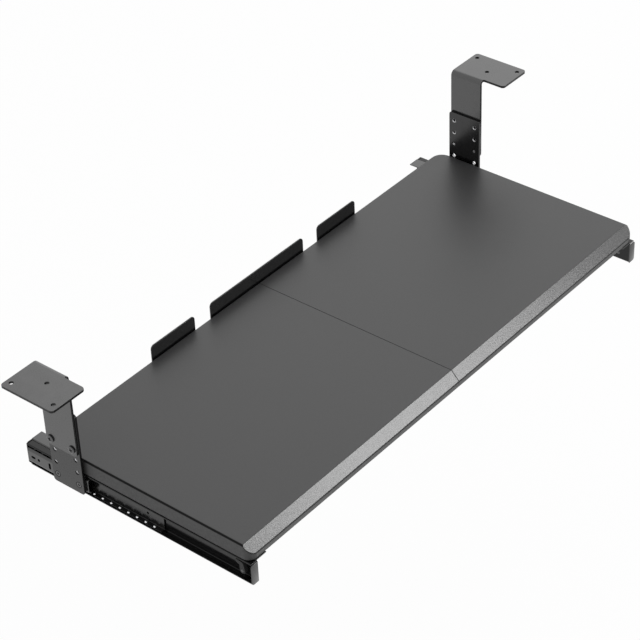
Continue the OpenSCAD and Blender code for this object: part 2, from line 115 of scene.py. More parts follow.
length = setting(FloatProperty, min=0.0, max=1.0, precision=5, subtype="DISTANCE", unit="LENGTH")
shade = setting(FloatVectorProperty, size=3, min=0.0, max=1.0, subtype="COLOR")
number = setting(FloatProperty, min=0.0, max=1.0)
power = setting(FloatProperty, min=0.0, max=200.0, unit="POWER")

# Sizes and colours that a user would change


class BracketSettings(bpy.types.PropertyGroup):
    """Powder-coated steel of the brackets, drop plates, stops and joining plates."""

    coat: shade("Coat", (0.0036, 0.0036, 0.0038), "Colour of the powder coat")
    grain: length("Grain", 0.0011, "Size of the coat's orange peel")
    relief: length("Relief", 0.000022, "Depth of the coat's orange peel")
    edge: length("Edge", 0.00028, "Radius of the rounded sheet edges")
    sheet: length("Sheet", 0.003, "Thickness of the brackets' sheet")
    bend: length("Bend", 0.006, "Outer radius of the bend between leg and flange")
    leg_width: length("Leg width", 0.043, "Width of the leg, front to back")
    corner: length("Corner", 0.004, "Radius of the flange's corners")
    fillet: length("Fillet", 0.002, "Radius where the flange's front part meets the leg")
    pitch: length("Level pitch", 0.0165, "Distance between the levels of holes")
    levels: IntProperty(name="Levels", default=6, min=2, max=8, description="Levels of holes")
    thread: length("Thread pitch", 0.0008, "Pitch of the thread in the plates' holes")
    tapped: length("Tapped hole", 0.00255, "Radius of the plates' tapped holes")
    threaded: number("Bare thread", 0.65, "Share of the plate over which the thread is bare")
    # The plate gloss gives a duller copy of the coat that darkens the drop plates and stops:
    # painted shade
    plate_gloss: number("Plate gloss", 0.42, "Gloss of the drop plates' coat")
    # The edge gloss gives a duller copy of the coat that darkens cut edges and hole walls: painted
    # shade
    edge_gloss: number("Edge gloss", 0.2, "Gloss of the coat on cut edges and in holes")
    bare: shade("Bare steel", (0.7, 0.7, 0.71), "Colour of the cut steel in the tapped holes")


class SlideSettings(bpy.types.PropertyGroup):
    """Black finished steel of the rails and ball cages."""

    steel: shade("Steel", (0.0045, 0.0045, 0.0047), "Colour of the black finish")
    grease: shade("Grease", (0.016, 0.0155, 0.014), "Colour of the grease film at the races")
    edge: length("Edge", 0.00018, "Radius of the rails' rounded edges")
    bend: length("Bend", 0.0018, "Outer radius of the fixed rail's bends in the solid")
    steel_sheet: length("Sheet", 0.001, "Thickness of the moving rail's sheet")
    # The channel gloss gives a duller copy of the rail finish that darkens the rail below its
    # flange: painted shade
    channel_gloss: number("Channel gloss", 0.3, "Gloss inside the moving rail's channel")
    flange_sheet: length("Flange sheet", 0.0012, "Thickness of the flange under the board")
    lip: length("Lip", 0.0014, "Height of the moving rail's lips")
    lip_trim: length("Lip trim", 0.0009, "What the lips are trimmed by")
    end_width: length("End width", 0.009, "Width of the moving rail's rear end")
    end_corner: length("End corner", 0.003, "Radius of the end plates' outer corners")
    end_drop: length("End drop", 0.0003, "From the rail's top down to the rear end plate")
    front_drop: length("Front drop", 0.0024, "From its top down to the front end plate")
    shoulder: length("Shoulder", 0.0012, "What is added to the bends' radius")


class BoardSettings(bpy.types.PropertyGroup):
    """Laminated tray board in two halves."""

    top: shade("Top", (0.027, 0.027, 0.0274), "Colour of the laminate")
    # The slope's lighter colour is painted light, standing in for the light the slope catches from
    # the front
    slope: shade("Slope", (0.042, 0.042, 0.0425), "Colour of the sloped front edge")
    sides: shade("Sides", (0.035, 0.035, 0.0353), "Colour of the edge banding")
    core: shade("Trimmed edge", (0.004, 0.004, 0.004), "Colour of the laminate's trimmed edge")
    grain: length("Grain", 0.0009, "Size of the laminate's pebble texture")
    edge: length("Edge", 0.00035, "Radius of the board's rounded edges")
    bevel_depth: length("Bevel depth", 0.01, "How far the sloped edge reaches forward")
    bevel_drop: length("Bevel drop", 0.0105, "How far the sloped edge drops")
    # The seam's dark strip is painted shade in the gap between the halves
    seam_depth: length("Seam depth", 0.0015, "Depth of the seam's dark strip")
    trim_line: length("Trim line", 0.0009, "Height of the dark line below the slope")


class BandSettings(bpy.types.PropertyGroup):
    """Ribbed band on the front face."""

    colour: shade("Colour", (0.09, 0.09, 0.09), "Colour of the band")
    pitch: length("Pitch", 0.0018, "Distance from rib to rib")
    depth: length("Depth", 0.00025, "Depth of the grooves between the ribs")
    edge: length("Edge", 0.0004, "Radius of the band's upper and lower edges")


class FastenerSettings(bpy.types.PropertyGroup):
    """Screws and rivets."""

    steel: shade("Steel", (0.03, 0.03, 0.031), "Colour of the black oxide")
    arm: number("Recess arm", 0.56, "Reach of the cross recess over the head's radius")
    pan: length("Pan head", 0.002, "Height of the height screws' heads")
    pan_seat: length("Pan seat", 0.003, "From the solid head's top down to the leg")
    bare_tip: length("Bare tip", 0.0006, "Bare length at the height screws' ends")
    sunk: length("Sunk head", 0.0022, "Height of the countersunk heads")
    wood: length("Round head", 0.0018, "Height of the wood screws' heads")
    rim: number("Sunk rim", 0.77, "Radius of a countersunk head over its hole's")
    # The recess gloss gives a duller copy of the oxide, painted shade in the recesses and round the
    # heads
    recess_gloss: number("Recess gloss", 0.12, "Gloss of the steel inside the recesses")
    width: number("Recess width", 0.15, "Half width of the recess over the head's radius")
    sections: IntProperty(name="Sections", default=8, min=4, max=16,
                          description="Points in an eighth of a turn of a screw")


class SlideFillSettings(bpy.types.PropertyGroup):
    """Balls and bumpers of the slides."""

    ball: shade("Ball", (0.72, 0.72, 0.73), "Colour of the polished balls")
    rubber: shade("Rubber", (0.022, 0.022, 0.022), "Colour of the bumpers")
    edge: length("Edge", 0.0005, "Radius of the bumpers' rounded edges")
    dome: length("Dome", 0.0008, "Height of the rivets' domed heads")


class StageSettings(bpy.types.PropertyGroup):
    """Floor, lamps and surroundings."""

    floor_drop: length("Floor drop", 0.42, "Distance from the tray down to the floor")
    surround: number("Surround", 0.75, "Strength of the light from all round")
    floor_white: number("Floor white", 0.94, "How white the floor is where it is seen")
    floor_size: FloatProperty(name="Floor size", default=9.0, description="Radius of the floor")
    key: power("Key lamp", 17.5, "Power of the lamp in front at the right")
    rear: power("Rear lamp", 6.0, "Power of the lamp behind at the right")


# Meshes


def corners_of(mesh):
    """All vertex places of a mesh as rows of x, y and z."""
    flat = np.empty(len(mesh.vertices) * 3)
    mesh.vertices.foreach_get("co", flat)
    return flat.reshape(-1, 3)


def mesh_of(name, work):
    """Mesh of a working copy, which is then let go."""
    mesh = bpy.data.meshes.new(name)
    work.to_mesh(mesh)
    work.free()
    return mesh


def solid_of(points, faces):
    """Working solid from points and faces, with points that fall together merged."""
    mesh = bpy.data.meshes.new("points")
    mesh.from_pydata(points, [], faces)
    work = bmesh.new()
    work.from_mesh(mesh)
    bpy.data.meshes.remove(mesh)
    bmesh.ops.remove_doubles(work, verts=work.verts, dist=SAME_POINT)
    bmesh.ops.recalc_face_normals(work, faces=work.faces)
    return work


def linked(name, data):
    """A new object in the scene."""
    item = bpy.data.objects.new(name, data)
    bpy.context.scene.collection.objects.link(item)
    return item


def loose_parts(node):
    """Lowest and highest corner of each separate body of a CAD node, ordered by x, then y, then z.
    Every corner starts with a number of its own, and each triangle gives its lowest number to its
    three corners until nothing changes."""
    mesh = frame["nodes"][node].data
    places = corners_of(mesh)
    corner = np.empty(len(mesh.loops), np.int64)
    mesh.loops.foreach_get("vertex_index", corner)
    rounded = np.round(places * 1e6).astype(np.int64)
    merged = np.unique(rounded, axis=0, return_inverse=True)[1].ravel()
    triangles = merged[corner].reshape(-1, 3)
    label = np.arange(merged.max() + 1)
    while True:
        lowest = label.copy()
        np.minimum.at(lowest, triangles.ravel(), np.repeat(label[triangles].min(axis=1), 3))
        if np.array_equal(lowest, label):
            break
        label = lowest
    owner = label[merged]
    groups = [places[owner == k] for k in np.unique(owner)]
    parts = [(group.min(axis=0), group.max(axis=0)) for group in groups]
    return sorted(parts, key=lambda part: tuple(np.round((part[0] + part[1]) / 2, 4)))


def grid_faces(rows, columns, start):
    """Quads between neighbours of a grid of points whose columns close on themselves."""
    index = start + np.arange(rows * columns).reshape(rows, columns)
    after = np.roll(index, -1, axis=1)
    return np.stack([index[:-1], after[:-1], after[1:], index[1:]], axis=-1).reshape(-1, 4)


def surface_object(name, grids, coat, sharp=32.0):
    """Object from grids of points, each rows by columns by xyz, with its columns closed. Points
    that fall together, as at a pole, are merged, and an open edge stops the script."""
    faces, start = [], 0
    for grid in grids:
        faces.append(grid_faces(grid.shape[0], grid.shape[1], start))
        start += grid.shape[0] * grid.shape[1]
    work = solid_of(np.concatenate([g.reshape(-1, 3) for g in grids]), np.concatenate(faces))
    if any(not edge.is_manifold for edge in work.edges):
        raise ValueError(name + " isn't closed")
    return finished_object(name, mesh_of(name, work), [coat], sharp)


def finished_object(name, mesh, finishes, sharp):
    """Object at the origin with its finishes, shaded smooth up to an angle given in degrees."""
    for item in finishes:
        mesh.materials.append(item)
    mesh.shade_smooth()
    mesh.set_sharp_from_angle(angle=math.radians(sharp))
    return linked(name, mesh)


def made_surface(node, grids, coat, sharp=32.0):
    """The piece that stands for a node, from grids of points."""
    piece = surface_object(node + "_made", grids, coat, sharp)
    stand_for(piece, node)
    return piece


def ride_with(piece, node):
    """Puts a piece on a node's body."""
    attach(piece, BODY_OF[node])


def stand_for(piece, node):
    """Puts a piece on its node's body, and hides the node."""
    ride_with(piece, node)
    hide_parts(node)


def round_edges(work, radius, segments):
    """A copy of a solid with its sharp edges rounded. Where two faces meet almost flat, a rounding
    can run off the solid: the edges there are left sharp, and the rounding is made again."""
    surface = BVHTree.FromBMesh(work)
    work.edges.index_update()
    chosen = {e.index for e in work.edges if e.calc_face_angle(0.0) > SHARP}
    for _ in range(6):
        trial = work.copy()
        trial.edges.ensure_lookup_table()
        bmesh.ops.bevel(
            trial, geom=[trial.edges[i] for i in chosen], offset=radius, offset_type="OFFSET",
            segments=segments, profile=0.5, affect="EDGES", clamp_overlap=False,
        )
        nearest = [surface.find_nearest(v.co) for v in trial.verts]
        strays = [place for place, _, _, gap in nearest if gap > 0.6 * radius]
        if not strays:
            return trial
        trial.free()
        for e in work.edges:
            start, end = e.verts[0].co, e.verts[1].co
            for place in strays:
                foot, share = intersect_point_line(place, start, end)
                foot = start if share < 0 else end if share > 1 else foot
                if (foot - place).length < 1.5 * radius:
                    chosen.discard(e.index)
    raise ValueError("the rounding of an edge runs off its solid")


def arc(x, y, r, start, end, steps=6):
    """Points x + r cos a, y + r sin a for angles a from start to end in degrees."""
    angles = np.radians(np.linspace(start, end, steps + 1))
    return [(x + r * math.cos(a), y + r * math.sin(a)) for a in angles]


def slab(sign, x0, x1, y0, y1):
    """Corners of a rectangle, with x mirrored by the sign."""
    return [(sign * x0, y0), (sign * x1, y0), (sign * x1, y1), (sign * x0, y1)]


def prism(outline, low, high, order=(0, 1, 2)):
    """Solid between two copies of an outline (a, b), at c = low and c = high. order says which of
    a, b and c is x, y and z."""
    count = len(outline)
    ends = [np.column_stack([np.array(outline), np.full(count, c)])[:, order] for c in (low, high)]
    walls = [(k, (k + 1) % count, count + (k + 1) % count, count + k) for k in range(count)]
    caps = [range(count - 1, -1, -1), range(count, 2 * count)]
    return solid_of(np.concatenate(ends), walls + caps)


def less_prism(work, outline, low, high):
    """The solid less an upright prism, whose outline is given as (x, y), from low to high."""
    meshes = [mesh_of("cutter", prism(outline, low, high)), mesh_of("solid", work)]
    pair = [linked(mesh.name, mesh) for mesh in meshes]
    cut = pair[1].modifiers.new("Cut", "BOOLEAN")
    cut.operation, cut.solver, cut.object = "DIFFERENCE", "EXACT", pair[0]
    graph = bpy.context.evaluated_depsgraph_get()
    result = bmesh.new()
    result.from_mesh(pair[1].evaluated_get(graph).to_mesh())
    for item, mesh in zip(pair, meshes):
        bpy.data.objects.remove(item)
        bpy.data.meshes.remove(mesh)
    return result


def rounded_copy(node, finishes, radius, choose=None, segments=2, shape=None):
    """Copy of a node's solid: corners merged, coplanar triangles joined, sharp edges rounded to
    the radius, and normals weighted by face area so that flat faces stay flat.
    choose gives each face its finish from the faces' normals and centres. shape takes the merged
    solid and gives back a changed one."""
    work = bmesh.new()
    work.from_mesh(frame["nodes"][node].data)
    bmesh.ops.remove_doubles(work, verts=work.verts, dist=SAME_CORNER)
    bmesh.ops.dissolve_limit(
        work, angle_limit=FLAT, use_dissolve_boundaries=False, verts=work.verts, edges=work.edges,
    )
    if shape is not None:
        work = shape(work)
    if any(not edge.is_manifold for edge in work.edges):
        raise ValueError(node + " isn't closed")
    if choose is not None:
        for face in work.faces:
            face.material_index = choose(face.normal, face.calc_center_median())
    mesh = mesh_of(node + "_made", round_edges(work, radius, segments))
    work.free()
    piece = finished_object(node + "_made", mesh, finishes, 180.0)
    weight = piece.modifiers.new("Flat faces", "WEIGHTED_NORMAL")
    weight.mode = "FACE_AREA"
    weight.keep_sharp = False
    stand_for(piece, node)
    return piece


# Finishes


class Nodes:
    """The node tree of a material or world, emptied first."""

    def __init__(self, owner):
        owner.use_nodes = True
        self.tree = owner.node_tree
        self.tree.nodes.clear()

    def feed(self, socket, value):
        """Gives an input its value: another node's output, a colour or a number."""
        if isinstance(value, bpy.types.NodeSocket):
            self.tree.links.new(value, socket)
        else:
            socket.default_value = (*value, 1.0) if socket.type == "RGBA" else value

    def add(self, kind, *values, **named):
        """A new node, with values for its inputs in order and by name, with _ for a space."""
        node = self.tree.nodes.new(kind)
        for socket, value in zip(node.inputs, values):
            self.feed(socket, value)
        for name, value in named.items():
            self.feed(node.inputs[name.replace("_", " ")], value)
        return node

    def mixed(self, share, first, second):
        """Mix of two shaders by a share."""
        return self.add("ShaderNodeMixShader", share, first, second).outputs[0]

    def sum_of(self, operation, first, second):
        """What an operation makes of two numbers."""
        node = self.add("ShaderNodeMath", first, second)
        node.operation = operation
        return node.outputs[0]


class Finish(Nodes):
    """Node tree of one finish. Every pattern reads the piece's own coordinates in metres. A cloud
    is soft noise, given by its size, its detail and how it is stretched along x, y and z."""

    def __init__(self, name, roughness, specular=0.5, metallic=0.0, ior=1.5):
        self.material = bpy.data.materials.new(name)
        super().__init__(self.material)
        self.shader = self.add(
            "ShaderNodeBsdfPrincipled", Roughness=roughness, Specular_IOR_Level=specular,
            Metallic=metallic, IOR=ior,
        )
        self.add("ShaderNodeOutputMaterial", Surface=self.shader.outputs["BSDF"])
        self.place = self.add("ShaderNodeTexCoord").outputs["Object"]

    def cloud(self, size, detail, stretch=(1, 1, 1)):
        """Soft noise from 0 to 1 with blobs about size metres wide, longer where stretched."""
        laid = self.add("ShaderNodeMapping", Vector=self.place, Scale=[1.0 / s for s in stretch])
        return self.add(
            "ShaderNodeTexNoise", Vector=laid.outputs["Vector"], Scale=1.0 / size, Detail=detail,
        ).outputs["Fac"]

    def pebbles(self, size):
        """Distance to the middle of the nearest of scattered cells about size metres wide."""
        cells = self.add("ShaderNodeTexVoronoi", Vector=self.place, Scale=1.0 / size)
        return cells.outputs["Distance"]

    def spread(self, value, low, high, start=0.3, end=0.7):
        """Maps start..end of a value to low..high."""
        return self.add(
            "ShaderNodeMapRange",
            Value=value, From_Min=start, From_Max=end, To_Min=low, To_Max=high,
        ).outputs["Result"]

    def blend(self, value, dark, light):
        """Colour between dark and light by a value from 0 to 1. Each is a colour or an output."""
        mix = self.add("ShaderNodeMix", Factor=value)
        mix.data_type = "RGBA"
        self.feed(mix.inputs[6], dark)
        self.feed(mix.inputs[7], light)
        return mix.outputs[2]

    def relief(self, layers):
        """Bumps laid on each other, each a cloud and its depth. With only a size it is pebbles."""
        below = {}
        for pattern, depth in layers:
            height = self.pebbles(*pattern) if len(pattern) == 1 else self.cloud(*pattern)
            bump = self.add("ShaderNodeBump", Distance=depth, Height=height, **below)
            below["Normal"] = bump.outputs["Normal"]
        self.feed(self.shader.inputs["Normal"], below["Normal"])


def tones(colour, share):
    """The colour a share darker and a share lighter."""
    return [c * (1 - share) for c in colour], [min(1.0, c * (1 + share)) for c in colour]


def finish(name, shader, tint, gloss, *layers):
    """The finish of that name, made when a piece first asks for it. shader is its roughness,
    specular level, metallic share and refraction. tint is a colour, the share it varies by and the
    cloud that varies it, or else a function of the finish. gloss is a cloud and the two roughnesses
    it runs between. layers are those of its relief."""
    if name in bpy.data.materials:
        return bpy.data.materials[name]
    made = Finish(name, *shader)
    if callable(tint):
        colour = tint(made)
    else:
        base, share, cloud = tint
        colour = made.blend(made.cloud(*cloud), *tones(base, share))
    made.feed(made.shader.inputs["Base Color"], colour)
    cloud, low, high = gloss
    made.feed(made.shader.inputs["Roughness"], made.spread(made.cloud(*cloud), low, high))
    made.relief(layers)
    return made.material


def powder_coat(name="powder_coat", gloss=0.85):
    """Satin black powder coat: orange peel, a finer tooth on it and slow change of gloss."""
    s = bpy.context.scene.tray_brackets
    return finish(
        name, (0.24, gloss, 0.0, 1.6), (s.coat, 0.18, (0.03, 3.0)), ((0.012, 4.0), 0.2, 0.28),
        ((s.grain, 1.0), s.relief), ((s.grain * 0.3, 2.0), s.relief * 0.3),
    )


def slide_black(name="slide_black", gloss=1.0):
    """Black finished rail steel: streaks from rolling along the rail and a slow change of gloss."""
    s = bpy.context.scene.tray_slides
    return finish(
        name, (0.15, gloss), (s.steel, 0.3, (0.004, 3.0, (1, 12, 1))),
        ((0.003, 4.0, (1, 18, 1)), 0.11, 0.2), ((0.0009, 2.0, (1, 25, 1)), 0.00002),
    )


def cage_black():
    """Darker finish of the ball cages, with a film of grease that shows as lighter smears."""
    s = bpy.context.scene.tray_slides

    def smears(made):
        smear = made.spread(made.cloud(0.006, 4.0, (1, 4, 1)), 0.0, 1.0, 0.45, 0.7)
        return made.blend(smear, s.steel, s.grease)

    return finish(
        "cage_black", (0.2, 0.4), smears, ((0.004, 3.0, (1, 6, 1)), 0.14, 0.28),
        ((0.002, 2.0, (1, 5, 1)), 0.00003),
    )


def laminate_top():
    """Matte dark laminate: pebble texture, small pores and a faint change of tone."""
    s = bpy.context.scene.tray_board

    def pores(made):
        fine = made.blend(made.cloud(s.grain, 2.0), *tones(s.top, 0.14))
        broad = made.spread(made.cloud(0.05, 3.0), 0.0, 0.25)
        return made.blend(broad, fine, tones(s.top, 0.12)[1])

    return finish(
        "laminate_top", (0.4, 0.58), pores, ((s.grain * 2, 2.0), 0.35, 0.44),
        ((s.grain,), 0.00004), ((s.grain * 0.4, 2.0), 0.00003),
    )


def slope_laminate_painted_light():
    """The laminate on the sloped front, with a coarser grain. Its lighter tone is painted light,
    standing in for the light the slope catches from the front.
    """
    s = bpy.context.scene.tray_board
    coarse = (0.0011, 3.0, (1.6, 1, 1))

    def flecks(made):
        fine = made.blend(made.spread(made.cloud(*coarse), 0.0, 1.0), *tones(s.slope, 0.3))
        broad = made.spread(made.cloud(0.009, 3.0), 0.0, 0.5)
        return made.blend(broad, fine, tones(s.slope, 0.2)[1])

    return finish(
        "slope_laminate_painted_light", (0.23, 0.6), flecks, ((0.0015, 2.0), 0.2, 0.26),
        (coarse, 0.00008), ((0.0004, 2.0), 0.00002),
    )


def laminate_trim():
    """Near-black line where the laminate's edge is trimmed at an angle."""
    s = bpy.context.scene.tray_board
    return finish(
        "laminate_trim", (0.45, 0.12), (s.core, 0.4, (0.0015, 3.0, (4, 4, 1))),
        ((0.001, 3.0), 0.38, 0.6), ((0.0006, 2.0, (6, 6, 1)), 0.00003),
    )


def edge_banding():
    """Edge banding on the vertical faces: fine lines along the edge over a dull grey."""
    s = bpy.context.scene.tray_board
    return finish(
        "edge_banding", (0.5, 0.42), (s.sides, 0.12, (0.0008, 3.0, (30, 30, 1))),
        ((0.002, 3.0), 0.42, 0.6), ((0.0007, 2.0, (30, 30, 1)), 0.00003),
    )


def band_plastic():
    """Dark grey ribbed plastic, a little dusty."""
    s = bpy.context.scene.tray_bands
    return finish(
        "band_plastic", (0.5, 0.4), (s.colour, 0.15, (0.003, 4.0)), ((0.002, 3.0), 0.42, 0.6),
        ((0.0004, 2.0), 0.00002),
    )


def black_oxide(name="black_oxide", gloss=1.0):
    """Black oxide on screw and rivet steel: blotches and fine turning marks."""
    s = bpy.context.scene.tray_fasteners
    return finish(
        name, (0.3, gloss), (s.steel, 0.4, (0.0012, 4.0)), ((0.0008, 3.0), 0.22, 0.4),
        ((0.0005, 2.0), 0.00002),
    )


def cut_steel():
    """Bare steel of the tapped holes and the height screws' ends, bright with fine tool marks."""
    s = bpy.context.scene.tray_brackets
    return finish(
        "cut_steel", (0.3, 0.5, 1.0), (s.bare, 0.15, (0.0009, 3.0)), ((0.0006, 3.0), 0.22, 0.4),
        ((0.0003, 2.0), 0.00001),
    )


def polished_ball():
    """Polished ball steel under a thin, uneven film of grease."""
    s = bpy.context.scene.tray_fill
    return finish(
        "polished_ball", (0.12, 0.5, 1.0), (s.ball, 0.12, (0.002, 2.0)),
        ((0.0012, 3.0), 0.06, 0.22), ((0.0008, 1.0), 0.000006),
    )


def moulded_rubber():
    """Matte moulded rubber with a faint bloom."""
    s = bpy.context.scene.tray_fill
    return finish(
        "moulded_rubber", (0.62, 0.35), (s.rubber, 0.2, (0.0025, 4.0)),
        ((0.0015, 3.0), 0.52, 0.74), ((0.0005, 3.0), 0.00004),
    )


# Surfaces


def turns(sections):
    """Angles round an axis, sections in each eighth of a turn, with a pair of angles close together
    on each side of a recess arm's corner so that the corner stays crisp."""
    s = bpy.context.scene.tray_fasteners
    corner = math.atan2(s.width, s.arm)
    first = np.concatenate([
        np.linspace(0.0, corner - 0.012, 3), [corner + 0.012],
        np.linspace(corner + 0.06, math.pi / 4, sections - 2),
    ])
    quarter = np.concatenate([first, math.pi / 2 - first[-2::-1]])[:-1]
    return np.concatenate([quarter + k * math.pi / 2 for k in range(4)])


def recess_outline(angle):
    """Distance from a head's middle to the outline of its cross recess, over the head's radius. The
    angle is folded into an eighth of a turn. There the outline is the arm's end, arm / cos, up to
    the arm's corner, and the arm's flank, width / sin, beyond it."""
    s = bpy.context.scene.tray_fasteners
    folded = np.abs((angle + math.pi / 4) % (math.pi / 2) - math.pi / 4)
    end = s.arm / np.cos(folded)
    flank = s.width / np.maximum(np.sin(folded), 1e-6)
    return np.where(np.tan(folded) < s.width / s.arm, end, flank)


def screw_surface(shank_r, shank, head_r, head_h, crown, seat_r=None):
    """A screw along +z with the top of its head at z = head_h. Row by row from the tip: the turned
    profile (r, z) swept as (r cos t, r sin t, z), then the crown z = head_h - crown (r / head_r)^2
    in to the recess outline, then the recess's wall and floor, whose radius is a share of the
    outline and whose depth grows to the middle. seat_r below head_r gives a countersunk head."""
    t = turns(bpy.context.scene.tray_fasteners.sections)
    outline = recess_outline(t) * head_r
    one = np.ones_like(t)

    def top(r):
        return head_h - crown * (r / head_r) ** 2

    if seat_r is None:
        fillet = min(0.45 * head_h, 0.3 * head_r)
        rim = [(head_r - 0.05 * head_r, 0.0), (head_r, 0.06 * head_h)]
        rim += arc(head_r - fillet, top(head_r) - fillet, fillet, 0, 90, 4)
    else:
        rim = [(seat_r, 0.0), (head_r, top(head_r) - 0.00015), (head_r - 0.00012, top(head_r))]
    tip = 0.35 * shank_r
    profile = [(0.0, -shank), (shank_r - tip, -shank), (shank_r, tip - shank), (shank_r, 0.0)] + rim
    rows = [(r * one, z * one) for r, z in profile]
    inner = profile[-1][0]
    for share in (0.5, 1.0):
        r = inner + (outline - inner) * share
        rows.append((r, top(r)))
    deep = 0.6 * head_h
    for share, depth in ((0.96, 0.12), (0.84, 0.8), (0.4, 1.0), (0.0, 1.15)):
        rows.append((outline * share, top(outline * share) - deep * depth))
    return np.stack([np.stack([r * np.cos(t), r * np.sin(t), z], axis=-1) for r, z in rows])


def laid_screws(node, axis, seat, turn, step, make):
    """Mesh of a node's screws along an axis (x or -z). seat is how far a head's seat lies below
    its outer end. The first is turned by turn and each next one by step more. make gives a screw's
    surface from the radius of its head and the length of its shank."""
    way, across = (0, 1) if abs(axis) == 1 else (2, 0)
    grids = []
    for k, (low, high) in enumerate(loose_parts(node)):
        place = (low + high) / 2
        place[way] = high[way] - seat if axis > 0 else low[way] + seat
        screw = make((high[across] - low[across]) / 2, high[way] - low[way] - seat)
        grids.append(along(screw, place, axis, turn + step * k))
    return made_surface(node, grids, black_oxide()).data


def below_top(mesh, depth):
    """For each face of screws along x, whether its middle is deeper than depth in the heads."""
    centres = np.empty(len(mesh.polygons) * 3)
    mesh.polygons.foreach_get("center", centres)
    x = np.abs(centres[::3])
    return x < x.max() - depth


def turned_surface(profile, sections=32):
    """The profile (r, z) swept round the z axis: (r cos t, r sin t, z)."""
    r, z = np.array(profile).T[:, :, None]
    t = np.linspace(0.0, 2 * math.pi, sections, endpoint=False)
    return np.stack([r * np.cos(t), r * np.sin(t), z + 0 * t], axis=-1)


def thread_lining(start, end, y, z):
    """Sleeve with a thread inside, along x. Row by row it runs along the hole's wall, r = tapped,
    then back inside it with r = tapped - depth (0.55 + 0.45 cos(2 pi x / pitch - t)), and round to
    its start, swept as (x, y + r cos t, z + r sin t)."""
    s = bpy.context.scene.tray_brackets
    wall, depth = s.tapped - 0.00001, 0.54 * s.thread
    t = np.linspace(0.0, 2 * math.pi, 24, endpoint=False)
    x = np.linspace(end, start, 25)[:, None]
    inner = wall - depth * (0.55 + 0.45 * np.cos(2 * math.pi * x / s.thread - t))
    r = np.concatenate([np.full((2, t.size), wall), inner, np.full((1, t.size), wall)])
    x = np.concatenate([[[start], [end]], x, [[start]]]) + 0 * t
    return np.stack([x, y + r * np.cos(t), z + r * np.sin(t)], axis=-1)


def along(points, place, axis, turn=0.0):
    """Points drawn along +z, turned about it and laid along an axis (x or z, with a sign)."""
    c, s = math.cos(turn), math.sin(turn)
    spun = points @ np.array([[c, s, 0], [-s, c, 0], [0, 0, 1]])
    x, y, z = spun[..., 0], spun[..., 1], spun[..., 2]
    sign = 1.0 if axis > 0 else -1.0
    laid = (z * sign, y, -x * sign) if abs(axis) == 1 else (x * sign, y, z * sign)
    return np.stack(laid, axis=-1) + np.asarray(place)


def ribbed_band(low, high):
    """Band between two corners, with upright ribs on its front. Round its section (u from 0 to 1)
    it runs up the front, over the rounded upper edge, down the back and round the lower edge.
    Along x (v) the front stands back by depth (0.5 + 0.5 cos(2 pi x / pitch))^3, which gives
    narrow grooves, less at the rounded edges. The ends are closed to a point in their middle."""
    s = bpy.context.scene.tray_bands
    span = high[0] - low[0]
    ribs = max(1, round(span / s.pitch))
    x = np.linspace(low[0], high[0], ribs * 8 + 1)
    wave = (0.5 + 0.5 * np.cos(2 * math.pi * (x - low[0]) * ribs / span)) ** 3
    r, front = s.edge, low[1]
    y, z = np.array(
        [(front, low[2] + r)] + arc(front + r, high[2] - r, r, 180, 90, 3)
        + [(high[1], high[2]), (high[1], low[2])] + arc(front + r, low[2] + r, r, 270, 180, 3)[:-1]
    ).T
    fade = 0.8 * np.sin(np.linspace(0.0, math.pi / 2, 4))
    share = np.concatenate([[1.0], 1.0 - fade, [0.0, 0.0], 0.2 + fade[:-1]])
    x, wave = x[:, None], wave[:, None]
    points = np.stack([x + 0 * y, y + s.depth * wave * share, z + 0 * x], axis=-1)
    first, last = (np.broadcast_to(p.mean(axis=0), p.shape) for p in (points[0], points[-1]))
    return np.concatenate([first[None], points, last[None]])


# Operators, one for each piece or group of like pieces


class MakeHangers(bpy.types.Operator):
    """Brackets that screw to the desk"""

    bl_idname = "keyboard_tray.make_hangers"
    bl_label = "Desk brackets"

    def execute(self, context):
        s = context.scene.tray_brackets
        for side, sign in SIDES.items():
            low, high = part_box(side + "_hanger")
            inner = min(abs(low[0]), abs(high[0]))
            out, near = 0.001, 0.00003
            edge, front, leg_front = inner + s.bend, low[1], high[1] - s.leg_width + near
            outline = [(inner - out, front - out), (edge + s.corner, front - out)]
            outline += arc(edge + s.corner, front + s.corner, s.corner, 270, 180)
            outline += arc(edge - s.fillet, leg_front - s.fillet, s.fillet, 0, 90)
            outline += [(inner - out, leg_front)]
            outline = [(sign * x, y) for x, y in outline]
            # Cut edges and hole walls take the duller edge coat, which is painted shade
            rounded_copy(
                side + "_hanger", [powder_coat(), powder_coat("edge_coat_painted_shade", s.edge_gloss)], s.edge,
                choose=self.cut_edge,
                shape=lambda work: less_prism(work, outline, -1.25 * s.bend, s.bend),
            )
        return {"FINISHED"}

    def cut_edge(self, normal, centre):
        """1 for the sheet's cut edges and the holes' walls, 0 for its broad faces and the bend.
        Faces given 1 take the duller coat, which is painted shade.
        """
        in_flange = centre.z > -bpy.context.scene.tray_brackets.sheet
        return int(abs(normal.y) > 0.5 or (in_flange and abs(normal.z) < 0.3))


